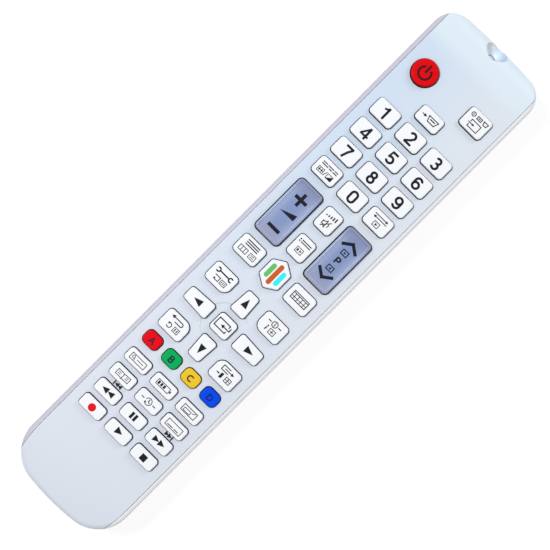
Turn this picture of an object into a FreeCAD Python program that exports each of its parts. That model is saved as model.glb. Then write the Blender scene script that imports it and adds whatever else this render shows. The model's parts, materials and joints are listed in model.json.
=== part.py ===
import FreeCAD, Part
import math
import os

# A slim television remote control, lying on its back with its head towards +Y.
# Z is height over the table, X is to the right for someone holding it.
# All sizes are in millimetres.

# Casing seen from above
body_length = 215.2
body_width = 44.5
head_corner = 9.0
head_crown = 150.0
tail_corner = 13.5
tail_crown = 90.0

# Walls, and the height stacked up from the table
wall = 1.9
floor_thickness = 1.4
face_thickness = 1.8
cell_diameter = 10.5
cell_length = 44.5
cell_clearance = 0.2
bay_ceiling = 1.1
board_thickness = 1.2
stop_gap = 0.1
key_travel = 0.8
stem_length = 1.9
flange_thickness = 0.7
flange_gap = 0.1

# Casing seen from the side
rim_radius = 2.0
back_radius = 7.5
back_lift_length = 68.0
back_bend_radius = 580.0
head_bend_margin = 2.75
head_bend_radius = 150.0
nose_length = 6.9
nose_radius = 8.0
nose_sweep = 84.0
tail_bend_margin = 13.2
tail_bend_radius = 147.0

# Seam between the two casings
rim_width = 1.8
seam_gap = 0.15
seam_bend_radius = 60.0
parting_z = 10.0
lip_thickness = 1.4
lip_depth = 4.2
lip_clearance = 0.2
lip_tail_margin = 2.0
lip_head_margin = 4.0
snap_length = 6.0
snap_depth = 0.5
snap_height = 0.8
snap_drop = 0.4
snap_places = (-70.0, -25.0, 20.0, 65.0)

# Infrared emitter and the round notch in front of it
emitter_diameter = 5.0
emitter_length = 8.6
emitter_flange = 5.8
flange_length = 1.0
emitter_setback = 3.8
emitter_clearance = 0.2
lead_spacing = 2.54
lead_size = 0.5
lead_length = 2.6
notch_setback = 1.1
notch_radius = 4.7
notch_foot_radius = 4.0
notch_wall = 1.5

# Keys
key_rise = 1.4
colour_rise = 1.2
power_rise = 1.6
rocker_rise = 1.8
key_edge = 0.45
power_edge = 0.7
rocker_edge = 0.6
key_gap = 0.3
rocker_gap = 0.4
rocker_dish_margin = 0.75
rocker_dish_slope = 0.55
rocker_dish_depth = 0.25
flange_margin = 0.7
stem_radius = 2.2
rocker_stem_y = 8.0
rocker_depth = 1.0
fulcrum_width = 2.0
fulcrum_drop = 0.1
dish_radius = 8.1
dish_depth = 0.2
dish_slope = 0.5

# Columns and rows of keys
column = 12.0
number_size = (9.5, 6.65)
number_radius = 1.25
number_top = 63.66
number_pitch = 9.16
media_size = (9.5, 4.85)
media_radius = 1.2
media_top = -53.05
media_pitch = 7.17
colour_size = (6.5, 5.1)
colour_radius = 1.7
colour_y = -44.75
colour_pitch = 9.0
power_radius = 4.75
power_place = (-12.1, 82.5)
source_size = (9.3, 7.6)
source_place = (11.8, 82.5)
input_size = (9.4, 5.75)
input_y = 72.5
rocker_size = (10.6, 22.8)
rocker_radius = 1.5
rocker_place = (11.45, 17.6)
middle_size = (6.9, 8.3)
middle_radius = 1.3
mute_y = 24.7
list_y = 11.9
side_column = 11.8
side_size = (9.8, 7.25)
side_radius = 1.3
side_round = 2.9
menu_y = -0.65
tools_y = -13.8
return_y = -36.0
home_y = -0.5
home_width = 8.5
home_height = 11.6
home_flat = 6.3
home_radius = 0.9
pad_y = -24.8
enter_size = (7.4, 6.9)
arrow_reach_x = 11.5
arrow_reach_y = 10.3
arrow_length_x = 10.35
arrow_length_y = 8.7
arrow_inner = 6.05
arrow_outer = 4.85
arrow_radius = 1.0

# Rubber mat and circuit board
mat_thickness = 0.8
mat_side_margin = 0.6
mat_head_margin = 8.5
mat_tail_margin = 6.6
web_gap = 0.15
web_foot = 0.95
web_rim = 0.55
web_clearance = 0.5
rocker_web_gap = 0.45
board_side_gap = 0.2
board_head_gap = 5.9
board_tail_margin = 3.0
board_corner = 3.0
post_radius = 1.6
post_x = 13.0
post_places = (-25.0, 10.0, 45.0, 80.0)
pin_radius = 0.9
pin_x = 13.0
pin_setback = 6.2
pin_clearance = 0.15

# Control chip and the small parts soldered under the board
chip_size = (7.6, 12.8, 2.0)
chip_lift = 0.2
chip_y = 56.0
leg_count = 10
leg_pitch = 1.27
leg_width = 0.4
leg_thickness = 0.3
leg_height = 0.8
leg_reach = 1.4
can_radius = 2.5
can_length = 7.0
can_place = (9.0, 71.5)
crystal_size = (3.6, 10.0, 3.2)
crystal_radius = 1.2
crystal_place = (-9.2, 61.0)
transistor_size = (2.9, 1.5, 1.1)
transistor_place = (-2.55, 84.75)
resistor_size = (1.2, 2.0, 0.5)
resistor_columns = ((-9.5, 48.0, 2), (9.0, 52.0, 3), (3.5, 84.0, 2), (-6.5, 72.0, 1))
resistor_pitch = 3.0

# Battery bay, its contacts and its cover
cell_gap = 0.7
cell_edge = 0.4
nub_radius = 1.9
nub_length = 0.8
nub_root = 0.5
bay_wall = 1.0
bay_tail_gap = 9.5
contact_thickness = 0.4
contact_width = 8.0
contact_height = 8.0
contact_tab = 2.4
strip_height = 3.0
spring_length = 4.0
spring_foot = 3.4
spring_tip = 2.4
spring_bore = 1.6
cover_overlap = 3.2
cover_width = 26.9
cover_height = 6.0
cover_gap = 0.15
cover_recess = 0.3
tongue_thickness = 0.55
tongue_reach = 0.85
tongue_gap = 0.1
tongue_wall = 0.85
tab_length = 2.5
tab_root = 1.5
grip_count = 5
grip_width = 14.0
grip_pitch = 2.2
grip_size = 1.0
grip_depth = 0.35
grip_setback = 16.0

# Heights that follow from the stack
cell_radius = cell_diameter / 2
cell_z = floor_thickness + cell_clearance + cell_radius
board_bottom = cell_z + cell_radius + cell_clearance + bay_ceiling
board_top = board_bottom + board_thickness
stem_bottom = board_top + stop_gap + key_travel
flange_bottom = stem_bottom + stem_length
flange_top = flange_bottom + flange_thickness
face_under = flange_top + flange_gap
face_top = face_under + face_thickness
web_top = flange_bottom - key_travel - web_clearance
mat_top = board_top + mat_thickness

# Places that follow from the plan
half_length = body_length / 2
half_width = body_width / 2
reach = body_length
past_end = 2.0
key_head_y = power_place[1] + power_radius
key_tail_y = media_top - 3 * media_pitch - media_size[1] / 2
back_bend_y = half_length - back_lift_length
head_bend_y = key_head_y + head_bend_margin
nose_y = half_length - nose_length
tail_bend_y = key_tail_y - tail_bend_margin
seam_x = half_width - rim_width
lip_outer = seam_x + seam_gap - lip_clearance
emitter_tip_y = half_length - emitter_setback
flange_front_y = emitter_tip_y - emitter_length + flange_length
head_run = max(0.0, flange_front_y - head_bend_y)
head_drop = head_bend_radius - math.sqrt(head_bend_radius**2 - head_run**2)
emitter_z = face_under - head_drop - emitter_clearance - emitter_flange / 2
notch_y = half_length - notch_setback
notch_back_y = notch_y - notch_radius
notch_bottom = parting_z - seam_gap
notch_floor = emitter_z - emitter_diameter / 2 - emitter_clearance

# Places of what lies inside
board_half = lip_outer - lip_thickness - board_side_gap
board_head_y = half_length - wall - board_head_gap
mat_half = board_half - mat_side_margin
mat_head_y = power_place[1] + mat_head_margin
mat_tail_y = media_top - 3 * media_pitch - mat_tail_margin
board_tail_y = mat_tail_y - board_tail_margin
pin_y = board_head_y - pin_setback
cell_x = (cell_diameter + cell_gap) / 2
bay_half = cell_x + cell_radius + cell_clearance
bay_tail_y = bay_tail_gap - half_length
bay_head_y = bay_tail_y + cell_length + spring_length + 2 * contact_thickness
cover_front_y = bay_head_y + cover_overlap
grip_y = cover_front_y - grip_setback
tongue_bottom = floor_thickness + tongue_gap
tongue_top = tongue_bottom + tongue_thickness
ledge_bottom = tongue_top + tongue_gap
tongue_outer = cover_width / 2 + tongue_reach

nodes = {}


def vector(x, y, z=0.0):
    return FreeCAD.Vector(x, y, z)


def box(x0, x1, y0, y1, z0, z1):
    return Part.makeBox(x1 - x0, y1 - y0, z1 - z0, vector(x0, y0, z0))


def mirrored(shape):
    """The shape and its twin on the other side of the middle."""
    return [shape, shape.mirror(vector(0, 0), vector(1, 0))]


def post(x, y, radius, z0, z1):
    return Part.makeCylinder(radius, z1 - z0, vector(x, y, z0))


def rod(x, z, radius, y0, y1):
    return Part.makeCylinder(radius, y1 - y0, vector(x, y0, z), vector(0, 1))


def fused(first, others):
    return first.fuse(list(others)).removeSplitter()


def prism(edges, z0, z1):
    """A closed outline in the plane of the table, raised from z0 to z1."""
    face = Part.Face(Part.Wire(edges))
    face.translate(vector(0, 0, z0))
    return face.extrude(vector(0, 0, z1 - z0))


# Outlines with straight sides and round corners
def turned(point, angle):
    c, s = math.cos(angle), math.sin(angle)
    return (point[0] * c - point[1] * s, point[0] * s + point[1] * c)


def grown(points, margin):
    """A convex outline, counter-clockwise, with every side moved out by the margin."""
    count = len(points)
    lines = []
    for i in range(count):
        (ax, ay), (bx, by) = points[i], points[(i + 1) % count]
        length = math.hypot(bx - ax, by - ay)
        nx, ny = (by - ay) / length, (ax - bx) / length
        lines.append((nx, ny, nx * ax + ny * ay + margin))
    moved = []
    for i in range(count):
        (a, b, c), (d, e, f) = lines[i - 1], lines[i]
        span = a * e - b * d
        moved.append(((c * e - b * f) / span, (a * f - c * d) / span))
    return moved


def rounded(points, radii, place):
    """Edges of a convex outline whose corners are arcs, each of its own radius."""
    count = len(points)
    corners = []
    for i in range(count):
        here = vector(points[i][0] + place[0], points[i][1] + place[1])
        last = vector(points[i - 1][0] + place[0], points[i - 1][1] + place[1])
        following = points[(i + 1) % count]
        onward = vector(following[0] + place[0], following[1] + place[1])
        back, ahead = (last - here).normalize(), (onward - here).normalize()
        half = back.getAngle(ahead) / 2
        cut = radii[i] / math.tan(half)
        middle = (back + ahead).normalize()
        depth = radii[i] / math.sin(half) - radii[i]
        corners.append((here + back * cut, here + middle * depth, here + ahead * cut))
    edges = []
    for i in range(count):
        start, bend, end = corners[i]
        edges.append(Part.Arc(start, bend, end).toShape())
        following = corners[(i + 1) % count][0]
        if end.distanceToPoint(following) > 1e-6:
            edges.append(Part.LineSegment(end, following).toShape())
    return edges


def rectangle(size):
    x, y = size[0] / 2, size[1] / 2
    return [(-x, -y), (x, -y), (x, y), (-x, y)]


def hexagon(width, height, flat):
    x, y, f = width / 2, height / 2, flat / 2
    return [(0, -y), (x, -f), (x, f), (0, y), (-x, f), (-x, -f)]


def tapered(length, inner, outer, angle):
    """An arrow key: its narrow end points along the angle from +X."""
    x = length / 2
    points = [(-x, -inner / 2), (x, -outer / 2), (x, outer / 2), (-x, inner / 2)]
    return [turned(p, angle) for p in points]


# Body of the remote
def end_arcs(inset, corner, crown, end):
    """The arcs of one end, from the right side to the left: end is +1 at the head."""
    crown_y = half_length - crown
    corner_x = half_width - corner
    corner_y = crown_y + math.sqrt((crown - corner) ** 2 - corner_x**2)
    angle = math.atan2(corner_y - crown_y, corner_x)
    edges = []

    def at(x, y, radius, turn):
        return vector(x + radius * math.cos(turn), end * (y + radius * math.sin(turn)))

    small, large = corner - inset, crown - inset
    meet = at(0, crown_y, large, angle)
    left = at(0, crown_y, large, math.pi - angle)
    side = at(corner_x, corner_y, small, 0)
    edges.append(Part.Arc(side, at(corner_x, corner_y, small, angle / 2), meet).toShape())
    edges.append(Part.Arc(meet, at(0, crown_y, large, math.pi / 2), left).toShape())
    other = at(-corner_x, corner_y, small, math.pi)
    bend = at(-corner_x, corner_y, small, math.pi - angle / 2)
    edges.append(Part.Arc(left, bend, other).toShape())
    return edges, side, other


def plan_outline(inset):
    head, head_right, head_left = end_arcs(inset, head_corner, head_crown, 1)
    tail, tail_right, tail_left = end_arcs(inset, tail_corner, tail_crown, -1)
    left = Part.LineSegment(head_left, tail_left).toShape()
    right = Part.LineSegment(tail_right, head_right).toShape()
    return head + [left] + tail[::-1] + [right]


def back_height(y):
    """Height of the back over the table, which lifts towards the head."""
    run = max(0.0, y - back_bend_y)
    return back_bend_radius - math.sqrt(back_bend_radius**2 - run**2)


def side_profile(under, over):
    """Edges of the side view, drawn in by under below the face and by over above the table."""

    def on_arc(y, z, radius, angle):
        return vector(0, y + radius * math.sin(angle), z + radius * math.cos(angle))

    def arc(y, z, radius, start, stop):
        points = [on_arc(y, z, radius, a) for a in (start, (start + stop) / 2, stop)]
        return Part.Arc(*points).toShape(), points[0], points[2]

    bend = math.asin((nose_y - head_bend_y) / head_bend_radius)
    head_z = face_top - head_bend_radius
    step = head_bend_radius - nose_radius
    nose_centre_y = head_bend_y + step * math.sin(bend)
    nose_centre_z = head_z + step * math.cos(bend)
    steep = math.radians(nose_sweep)
    tail_sweep = math.asin((-half_length - past_end - tail_bend_y) / tail_bend_radius)
    tail, tail_end, tail_start = arc(
        tail_bend_y, face_top - tail_bend_radius, tail_bend_radius - under, tail_sweep, 0
    )
    head, head_start, head_end = arc(head_bend_y, head_z, head_bend_radius - under, 0, bend)
    nose, _, nose_end = arc(nose_centre_y, nose_centre_z, nose_radius - under, bend, steep)
    back_radius_here = back_bend_radius - over
    lift = math.pi - math.asin((nose_end.y - back_bend_y) / back_radius_here)
    back, back_start, back_end = arc(
        back_bend_y, back_bend_radius, back_radius_here, math.pi, lift
    )
    heel = vector(0, -half_length - past_end, over)
    runs = [(tail_start, head_start), (nose_end, back_end), (back_start, heel), (heel, tail_end)]
    lines = [Part.LineSegment(a, b).toShape() for a, b in runs]
    return [tail, lines[0], head, nose, lines[1], back, lines[2], lines[3]]


def round_edges(block, radius, low, high):
    """Rounds the long outline edges of a block that lie between two heights."""
    picked = []
    for edge in block.Edges:
        bounds = edge.BoundBox
        upright = bounds.XLength < 1e-6 and bounds.YLength < 1e-6
        across = bounds.YLength < 1e-6 and bounds.ZLength < 1e-6
        if low < bounds.ZMin and bounds.ZMax < high and not upright and not across:
            picked.append(edge)
    return block.makeFillet(radius, picked)


def body_block(inset, under, over):
    outline = prism(plan_outline(inset), -1.0, 2 * face_top)
    side = Part.Face(Part.Wire(side_profile(under, over)))
    side.translate(vector(-reach / 2, 0, 0))
    return outline.common(side.extrude(vector(reach, 0, 0)))


def make_outer():
    block = body_block(0.0, 0.0, 0.0)
    block = round_edges(block, back_radius, -1.0, face_top / 2)
    return round_edges(block, rim_radius, face_top / 2, 2 * face_top)


def make_cavity():
    block = body_block(wall, face_thickness, floor_thickness)
    return round_edges(block, back_radius - floor_thickness, -1.0, face_top / 2)


def face_zone(gap, z0):
    """The space of the top casing: inside the side seams and above the parting plane."""
    x = seam_x + gap
    radius = seam_bend_radius + gap
    far = -half_length - past_end
    centre = vector(seam_x - seam_bend_radius, tail_bend_y)
    sweep = math.asin((far - tail_bend_y) / radius)

    def at(angle):
        return centre + vector(math.cos(angle), math.sin(angle)) * radius

    def flipped(point):
        return vector(-point.x, point.y)

    top_right = vector(x, half_length + past_end)
    bend = [at(0), at(sweep / 2), at(sweep)]
    twin = [flipped(p) for p in bend]
    edges = [
        Part.LineSegment(top_right, bend[0]).toShape(),
        Part.Arc(*bend).toShape(),
        Part.LineSegment(bend[2], twin[2]).toShape(),
        Part.Arc(*twin[::-1]).toShape(),
        Part.LineSegment(twin[0], flipped(top_right)).toShape(),
        Part.LineSegment(flipped(top_right), top_right).toShape(),
    ]
    return prism(edges, z0, 2 * face_top)


# Keys
class Key:
    """One push key: its outline about its own centre, and how it stands in the face."""

    def __init__(self, name, place, points, radius, rise=key_rise, edge=key_edge, gap=key_gap):
        self.name = name
        self.place = place
        self.points = points
        self.radius = radius
        self.radii = [radius] * len(points or [])
        self.rise = rise
        self.edge = edge
        self.gap = gap
        self.stems = [place]
        self.web_gap = web_gap

    def outline(self, margin):
        """The edges of the key's outline, moved out by the margin."""
        radii = [radius + margin for radius in self.radii]
        return rounded(grown(self.points, margin), radii, self.place)

    def slab(self, margin, z0, z1):
        if self.points is None:
            return post(self.place[0], self.place[1], self.radius + margin, z0, z1)
        return prism(self.outline(margin), z0, z1)

    def cap(self, z0):
        top = face_top + self.rise
        block = self.slab(0.0, z0, top)
        rim = [e for e in block.Edges if e.BoundBox.ZMin > top - 1e-4]
        return block.makeFillet(self.edge, rim)

    def stem(self, x, y, z1):
        return post(x, y, stem_radius, stem_bottom, z1)

    def solid(self):
        flange = self.slab(flange_margin, flange_bottom, flange_top)
        stems = [self.stem(x, y, flange_top) for x, y in self.stems]
        return fused(self.cap(flange_bottom), [flange] + stems)

    def hole(self):
        return self.slab(self.gap, face_under - 1.0, face_top + 1.0)


class Rocker(Key):
    """A long key with a shallow dish that tips about a fulcrum under its middle."""

    def __init__(self, name, side):
        place = (side * rocker_place[0], rocker_place[1])
        super().__init__(
            name, place, rectangle(rocker_size), rocker_radius,
            rise=rocker_rise, edge=rocker_edge, gap=rocker_gap,
        )
        x, y = place
        self.stems = [(x, y - rocker_stem_y), (x, y + rocker_stem_y)]
        self.web_gap = rocker_web_gap

    def dish(self):
        top = face_top + self.rise
        wires = []
        for margin, z in (
            (rocker_dish_margin + rocker_dish_slope, top - rocker_dish_depth),
            (rocker_dish_margin, top),
        ):
            wire = Part.Wire(self.outline(-margin))
            wire.translate(vector(0, 0, z))
            wires.append(wire)
        return Part.makeLoft(wires, True, True)

    def solid(self):
        base = face_under - rocker_depth
        x, y = self.place
        arm = rocker_size[0] / 2 + flange_margin
        top = flange_top - fulcrum_drop
        fulcrum = box(
            x - arm, x + arm, y - fulcrum_width / 2, y + fulcrum_width / 2, base, top
        )
        stems = [self.stem(sx, sy, base + flange_thickness) for sx, sy in self.stems]
        return fused(self.cap(base), [fulcrum] + stems).cut(self.dish())


def number_keys():
    labels = ["1", "2", "3", "4", "5", "6", "7", "8", "9", "text", "0", "previous"]
    keys = []
    for i, label in enumerate(labels):
        place = ((i % 3 - 1) * column, number_top - i // 3 * number_pitch)
        keys.append(Key("key_" + label, place, rectangle(number_size), number_radius))
    return keys


def media_keys():
    labels = [
        "search", "status", "screen_size", "manual", "history", "subtitle",
        "rewind", "pause", "forward", "record", "play", "stop",
    ]
    keys = []
    for i, label in enumerate(labels):
        place = ((i % 3 - 1) * column, media_top - i // 3 * media_pitch)
        keys.append(Key("key_" + label, place, rectangle(media_size), media_radius))
    return keys


def colour_keys():
    keys = []
    for i, label in enumerate(["red", "green", "yellow", "blue"]):
        place = ((i - 1.5) * colour_pitch, colour_y)
        outline = rectangle(colour_size)
        keys.append(
            Key("key_" + label, place, outline, colour_radius, rise=colour_rise)
        )
    return keys


def side_keys():
    keys = []
    for side, label in ((-1, "menu"), (1, "guide")):
        place = (side * side_column, menu_y)
        keys.append(Key("key_" + label, place, rectangle(side_size), side_radius))
    bent_keys = [(-1, "tools", tools_y, 1), (1, "info", tools_y, 0)]
    bent_keys += [(-1, "return", return_y, 2), (1, "exit", return_y, 3)]
    for side, label, y, corner in bent_keys:
        place = (side * side_column, y)
        key = Key("key_" + label, place, rectangle(side_size), side_radius)
        key.radii[corner] = side_round
        keys.append(key)
    return keys


def arrow_keys():
    keys = []
    turns = [("right", 0, 1, 0), ("up", 90, 0, 1), ("left", 180, -1, 0), ("down", 270, 0, -1)]
    for label, degrees, dx, dy in turns:
        length = arrow_length_x if dx else arrow_length_y
        place = (dx * arrow_reach_x, pad_y + dy * arrow_reach_y)
        outline = tapered(length, arrow_inner, arrow_outer, math.radians(degrees))
        keys.append(Key("key_" + label, place, outline, arrow_radius))
    return keys


def all_keys():
    keys = [
        Key("key_power", power_place, None, power_radius, rise=power_rise, edge=power_edge),
        Key("key_source", source_place, rectangle(source_size), number_radius),
        Key("key_input", (0.0, input_y), rectangle(input_size), number_radius),
        Rocker("rocker_volume", -1),
        Rocker("rocker_channel", 1),
        Key("key_mute", (0.0, mute_y), rectangle(middle_size), middle_radius),
        Key("key_list", (0.0, list_y), rectangle(middle_size), middle_radius),
        Key("key_home", (0.0, home_y), hexagon(home_width, home_height, home_flat), home_radius),
        Key("key_enter", (0.0, pad_y), rectangle(enter_size), middle_radius),
    ]
    keys += number_keys() + side_keys() + arrow_keys() + colour_keys() + media_keys()
    return keys


# Casings
def notch_room(inset, z1):
    """The notch up to one height, drawn in by the inset: half a cone that runs out past the head."""
    far = half_length + past_end
    lean = (notch_radius - notch_foot_radius) / (face_top - notch_bottom)
    wires = []
    for z in (notch_bottom, z1):
        radius = notch_foot_radius - inset + lean * (z - notch_bottom)
        left, right = vector(-radius, notch_y, z), vector(radius, notch_y, z)
        far_left, far_right = vector(-radius, far, z), vector(radius, far, z)
        edges = [Part.Arc(left, vector(0, notch_y - radius, z), right).toShape()]
        for a, b in ((right, far_right), (far_right, far_left), (far_left, left)):
            edges.append(Part.LineSegment(a, b).toShape())
        wires.append(Part.Wire(edges))
    return Part.makeLoft(wires, True, True)


def notch_block(z0, z1):
    half = notch_radius + notch_wall
    return box(-half, half, notch_back_y - notch_wall, half_length + past_end, z0, z1)


def snap_row(x0, x1, half, spare):
    """One snap at each place on the right-hand side, with spare room all round."""
    bottom = face_under - lip_depth + snap_drop - spare
    top = bottom + snap_height + 2 * spare
    return [box(x0, x1, y - half, y + half, bottom, top) for y in snap_places]


def make_top_casing(outer, walls, keys):
    zone = face_zone(0.0, parting_z + seam_gap / 2)
    shell = walls.copy().common(zone)
    lip = box(
        lip_outer - lip_thickness, lip_outer,
        tail_bend_y + lip_tail_margin, head_bend_y + lip_head_margin,
        face_under - lip_depth, face_under,
    )
    snaps = snap_row(lip_outer, lip_outer + snap_depth, snap_length / 2, 0.0)
    block = notch_block(parting_z + seam_gap / 2, 2 * face_top).common(outer.copy())
    side = fused(lip, snaps)
    shell = fused(shell, mirrored(side) + [block])
    bore = rod(
        0.0, emitter_z, emitter_diameter / 2 + emitter_clearance,
        notch_back_y - 2 * notch_wall, notch_back_y + notch_wall,
    )
    notch = notch_room(0.0, face_top)
    dish = Part.makeCone(
        dish_radius - dish_slope, dish_radius, dish_depth,
        vector(0, pad_y, face_top - dish_depth),
    )
    return shell.cut([key.hole() for key in keys] + [bore, notch, dish])


def make_bay():
    """The battery compartment: walls and a roof that follows the two cells."""
    half = bay_half + bay_wall
    tail, head = bay_tail_y - bay_wall, bay_head_y + bay_wall
    block = box(-half, half, tail, head, ledge_bottom, board_bottom)
    room = box(-bay_half, bay_half, bay_tail_y, bay_head_y, 0.0, cell_z)
    cuts = [room]
    for x in (-cell_x, cell_x):
        cuts.append(rod(x, cell_z, cell_radius + cell_clearance, bay_tail_y, bay_head_y))
        plate = contact_width / 2 + cell_clearance
        for y in (bay_tail_y, bay_head_y - contact_thickness - cell_clearance):
            cuts.append(
                box(
                    x - plate, x + plate, y, y + contact_thickness + cell_clearance,
                    cell_z, cell_z + contact_height / 2 + cell_clearance,
                )
            )
        tab = contact_tab / 2 + cell_clearance
        slot_y = bay_head_y - contact_thickness - cell_clearance
        cuts.append(box(x - tab, x + tab, slot_y, bay_head_y, cell_z, board_bottom + 1.0))
    middle = contact_width / 2
    cuts.append(
        box(
            -cell_x - middle, cell_x + middle, bay_tail_y,
            bay_tail_y + contact_thickness + cell_clearance,
            cell_z, cell_z + contact_height / 2 + cell_clearance,
        )
    )
    return block.cut(cuts)


def make_rails():
    """The ledges over the channels in which the cover slides."""
    tail, head = bay_tail_y - bay_wall, bay_head_y + bay_wall
    inner = tongue_outer + tongue_gap
    outer = inner + bay_wall * 1.5
    web = box(inner, outer, tail, head, floor_thickness / 2, ledge_bottom + bay_wall)
    ledge = box(bay_half, outer, tail, head, ledge_bottom, ledge_bottom + bay_wall)
    return mirrored(fused(web, [ledge]))


def make_rear_casing(outer, walls):
    zone = face_zone(seam_gap, parting_z - seam_gap / 2)
    shell = walls.copy().cut(zone)
    posts = []
    for y in post_places:
        base = back_height(y) + floor_thickness / 2
        posts += mirrored(post(post_x, y, post_radius, base, board_bottom))
    pin_base = back_height(pin_y) + floor_thickness / 2
    foot = post(pin_x, pin_y, post_radius, pin_base, board_bottom)
    pin = post(pin_x, pin_y, pin_radius, pin_base, board_top)
    posts += mirrored(fused(foot, [pin]))
    block = notch_block(back_height(head_bend_y), parting_z - seam_gap / 2)
    step = notch_room(seam_gap, notch_floor)
    shell = fused(shell, posts + [fused(block, [step]).common(outer.copy())])
    inner = seam_x + seam_gap
    pockets = []
    for pocket in snap_row(
        inner - lip_thickness, inner + snap_depth, snap_length / 2 + lip_clearance,
        lip_clearance,
    ):
        pockets += mirrored(pocket)
    half = cover_width / 2 + cover_gap
    front = cover_front_y + cover_gap
    opening = box(-half, half, -reach, front, -past_end, cover_height + cover_gap)
    shell = shell.cut(pockets).cut(opening)
    shell = fused(shell, make_rails() + [make_bay()])
    channel = tongue_outer + tongue_gap
    slot = box(
        -channel, channel, -reach, tail_corner - half_length, floor_thickness, ledge_bottom
    )
    return shell.cut(slot)


def make_battery_cover(walls):
    """The cover lies a little above the table, so that the casing carries the remote."""
    half = cover_width / 2
    zone = box(-half, half, -reach, cover_front_y, cover_recess, cover_height)
    plate = walls.copy().common(zone)
    tail = bay_tail_y - bay_wall
    wall_in = half - tongue_wall
    side = box(wall_in, half, tail, cover_front_y, floor_thickness / 2, tongue_top)
    tongue = box(wall_in, tongue_outer, tail, cover_front_y, tongue_bottom, tongue_top)
    tab = box(
        wall_in - tongue_wall, half, cover_front_y - tab_root, cover_front_y + tab_length,
        tongue_bottom, tongue_top,
    )
    foot = box(
        wall_in - tongue_wall, half, cover_front_y - tab_root, cover_front_y,
        floor_thickness / 2, tongue_top,
    )
    plate = fused(plate, mirrored(fused(side, [tongue, tab, foot])))
    grooves = []
    for i in range(grip_count):
        y = grip_y + (i - (grip_count - 1) / 2) * grip_pitch
        grooves.append(
            box(
                -grip_width / 2, grip_width / 2, y - grip_size / 2, y + grip_size / 2,
                0.0, cover_recess + grip_depth,
            )
        )
    return plate.cut(grooves)


# Inside parts
def make_mat(keys):
    """The rubber sheet on the board, with a raised web round every stem."""
    sheet = box(-mat_half, mat_half, mat_tail_y, mat_head_y, board_top, mat_top)
    webs, holes = [], []
    for key in keys:
        bore = stem_radius + key.web_gap
        for x, y in key.stems:
            if key.web_gap == web_gap:
                foot = vector(x, y, board_top + mat_thickness / 2)
                webs.append(
                    Part.makeCone(
                        bore + web_foot, bore + web_rim, web_top - foot.z, foot
                    )
                )
            holes.append(post(x, y, bore, board_bottom, flange_bottom))
    return sheet.fuse(webs).cut(holes).removeSplitter()


def make_board():
    length = board_head_y - board_tail_y
    middle = (board_head_y + board_tail_y) / 2
    outline = rectangle((2 * board_half, length))
    board = prism(rounded(outline, [board_corner] * 4, (0.0, middle)), board_bottom, board_top)
    room = emitter_flange / 2 + emitter_clearance * 2
    back = emitter_tip_y - emitter_length - emitter_clearance
    bay = box(-room, room, back, half_length, cell_z, face_under)
    pins = mirrored(post(pin_x, pin_y, pin_radius + pin_clearance, cell_z, face_under))
    return board.cut([bay] + pins)


def make_emitter():
    """A clear lamp: domed tip, round body, flange and two leads up to the board."""
    radius = emitter_diameter / 2
    back = emitter_tip_y - emitter_length
    body = rod(0.0, emitter_z, radius, back, emitter_tip_y - radius)
    dome = Part.makeSphere(radius, vector(0, emitter_tip_y - radius, emitter_z))
    flange = rod(0.0, emitter_z, emitter_flange / 2, back, flange_front_y)
    leads = []
    for x in (-lead_spacing / 2, lead_spacing / 2):
        half = lead_size / 2
        z = board_bottom - lead_size
        leads.append(box(x - half, x + half, back - lead_length, back, z - lead_size, z))
        leads.append(
            box(
                x - half, x + half, back - lead_length, back - lead_length + lead_size,
                z - lead_size, board_bottom,
            )
        )
    return fused(body, [dome, flange] + leads)


def make_chip():
    """The control chip under the board, with a row of legs on each side."""
    width, length, height = chip_size
    top = board_bottom - chip_lift
    body = box(-width / 2, width / 2, chip_y - length / 2, chip_y + length / 2, top - height, top)
    toe_x = width / 2 + leg_reach
    legs = []
    for i in range(leg_count):
        y = chip_y + (i - (leg_count - 1) / 2) * leg_pitch
        front, back = y - leg_width / 2, y + leg_width / 2
        z = board_bottom - leg_height
        arm = box(width / 2 - leg_thickness, toe_x, front, back, z - leg_thickness, z)
        toe = box(toe_x - leg_thickness, toe_x, front, back, z - leg_thickness, board_bottom)
        legs += mirrored(arm.fuse(toe))
    return fused(body, legs)


def soldered(place, size):
    """A block of the given size that hangs from the underside of the board."""
    (x, y), (width, length, height) = place, size
    return box(
        x - width / 2, x + width / 2, y - length / 2, y + length / 2,
        board_bottom - height, board_bottom,
    )


def make_board_parts():
    """Small parts under the board: a can, a crystal, a transistor and resistors."""
    can_x, can_y = can_place
    can = rod(
        can_x, board_bottom - can_radius, can_radius, can_y - can_length / 2, can_y + can_length / 2
    )
    crystal = soldered(crystal_place, crystal_size)
    upright = [e for e in crystal.Edges if e.BoundBox.ZLength > crystal_size[2] / 2]
    crystal = crystal.makeFillet(crystal_radius, upright)
    parts = [can, crystal, soldered(transistor_place, transistor_size)]
    for x, y, count in resistor_columns:
        for i in range(count):
            parts.append(soldered((x, y + i * resistor_pitch), resistor_size))
    return Part.makeCompound(parts)


def make_cell(x, nub_end):
    """One AAA cell: nub_end is +1 where its button faces the head."""
    if nub_end > 0:
        start = bay_tail_y + contact_thickness + spring_length
        nub_start = start + cell_length - nub_length - nub_root
        body_start = start
    else:
        start = bay_tail_y + contact_thickness
        nub_start = start
        body_start = start + nub_length
    body = rod(x, cell_z, cell_radius, body_start, body_start + cell_length - nub_length)
    ends = [e for e in body.Edges if e.BoundBox.YLength < 1e-6]
    body = body.makeFillet(cell_edge, ends)
    nub = rod(x, cell_z, nub_radius, nub_start, nub_start + nub_length + nub_root)
    return fused(body, [nub])


def contact_spring(x, base, tip):
    """The taper of a coil spring from its foot on the plate to its tip on the cell."""
    length = abs(tip - base)
    way = vector(0, 1 if tip > base else -1)
    cone = Part.makeCone(spring_foot, spring_tip, length, vector(x, base, cell_z), way)
    return cone.cut(Part.makeCylinder(spring_bore, length, vector(x, base, cell_z), way))


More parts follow.
